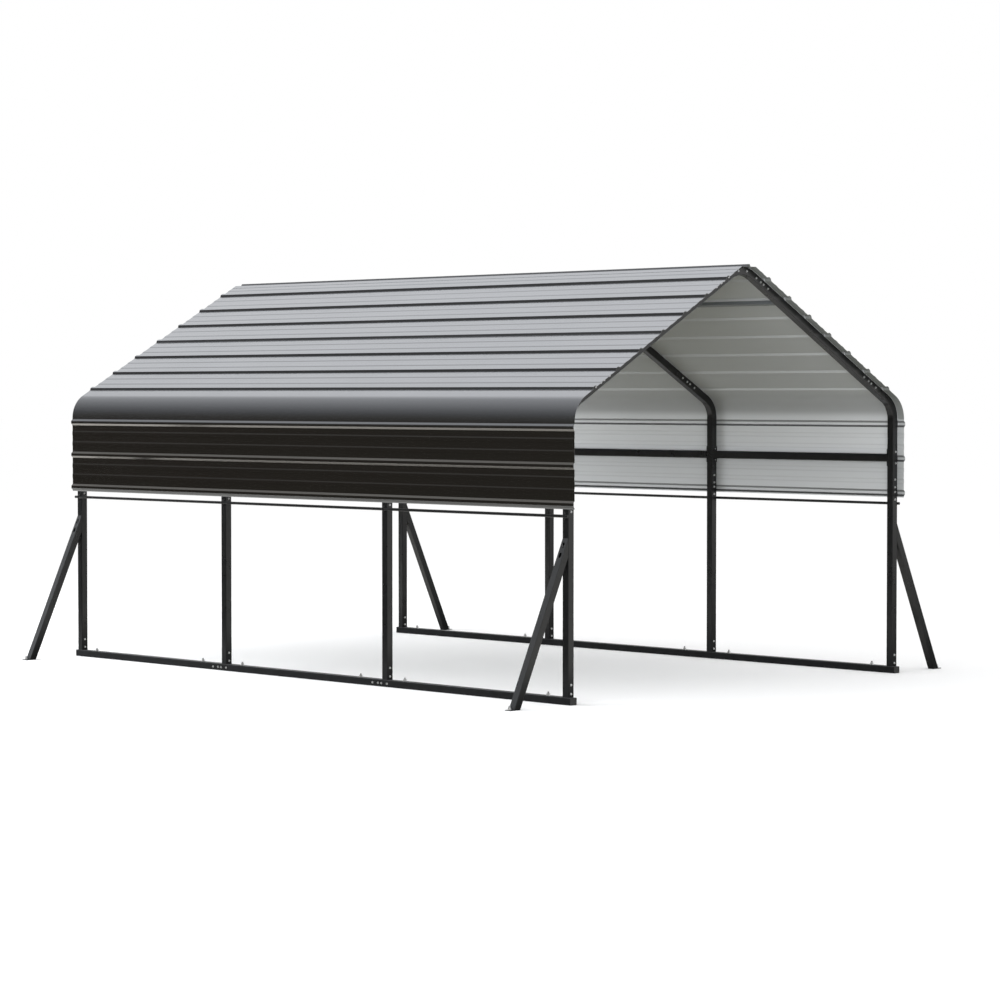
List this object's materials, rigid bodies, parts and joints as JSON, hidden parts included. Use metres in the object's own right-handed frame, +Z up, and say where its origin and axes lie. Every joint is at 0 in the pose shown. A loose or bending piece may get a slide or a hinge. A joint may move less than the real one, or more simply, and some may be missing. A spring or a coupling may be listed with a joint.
{
  "type": "carport",
  "caption": "Open steel carport: bent square-tube frames on base rails with outrigger struts, under a pitched roof of long-ribbed sheets rolled down over the eaves to short side walls.",
  "frame": {"origin": "on the ground, under the middle of the roof", "axes": "+X across the span to the right-hand side, +Y along the roof to the rear, +Z up"},
  "size_m": [3.988, 4.877, 2.6124],
  "materials": {
    "frame_coating": "satin black powder coat",
    "sheet_coating": "semi-gloss charcoal outside, light grey inside",
    "cap_plastic": "moulded black"
  },
  "bodies": {
    "root": {"front_eave_bends": "frame_coating", "front_left_leg": "frame_coating", "front_middle_eave_bends": "frame_coating", "front_middle_left_leg": "frame_coating", "front_middle_rafters": "frame_coating", "front_middle_right_leg": "frame_coating", "front_rafters": "frame_coating", "front_right_leg": "frame_coating", "front_struts": "frame_coating", "left_eave_sheet": "sheet_coating", "left_front_base_rail": "frame_coating", "left_girts": "frame_coating", "left_lower_roof_sheet": "sheet_coating", "left_middle_base_rail": "frame_coating", "left_purlins": "frame_coating", "left_rear_base_rail": "frame_coating", "left_upper_roof_sheet": "sheet_coating", "left_wall_sheet": "sheet_coating", "lower_rods": "frame_coating", "rail_end_caps": "cap_plastic", "rear_eave_bends": "frame_coating", "rear_left_leg": "frame_coating", "rear_middle_eave_bends": "frame_coating", "rear_middle_left_leg": "frame_coating", "rear_middle_rafters": "frame_coating", "rear_middle_right_leg": "frame_coating", "rear_rafters": "frame_coating", "rear_right_leg": "frame_coating", "rear_struts": "frame_coating", "ridge_bends": "frame_coating", "ridge_cap": "sheet_coating", "right_eave_sheet": "sheet_coating", "right_front_base_rail": "frame_coating", "right_girts": "frame_coating", "right_lower_roof_sheet": "sheet_coating", "right_middle_base_rail": "frame_coating", "right_purlins": "frame_coating", "right_rear_base_rail": "frame_coating", "right_upper_roof_sheet": "sheet_coating", "right_wall_sheet": "sheet_coating"}
  },
  "joints": []
}
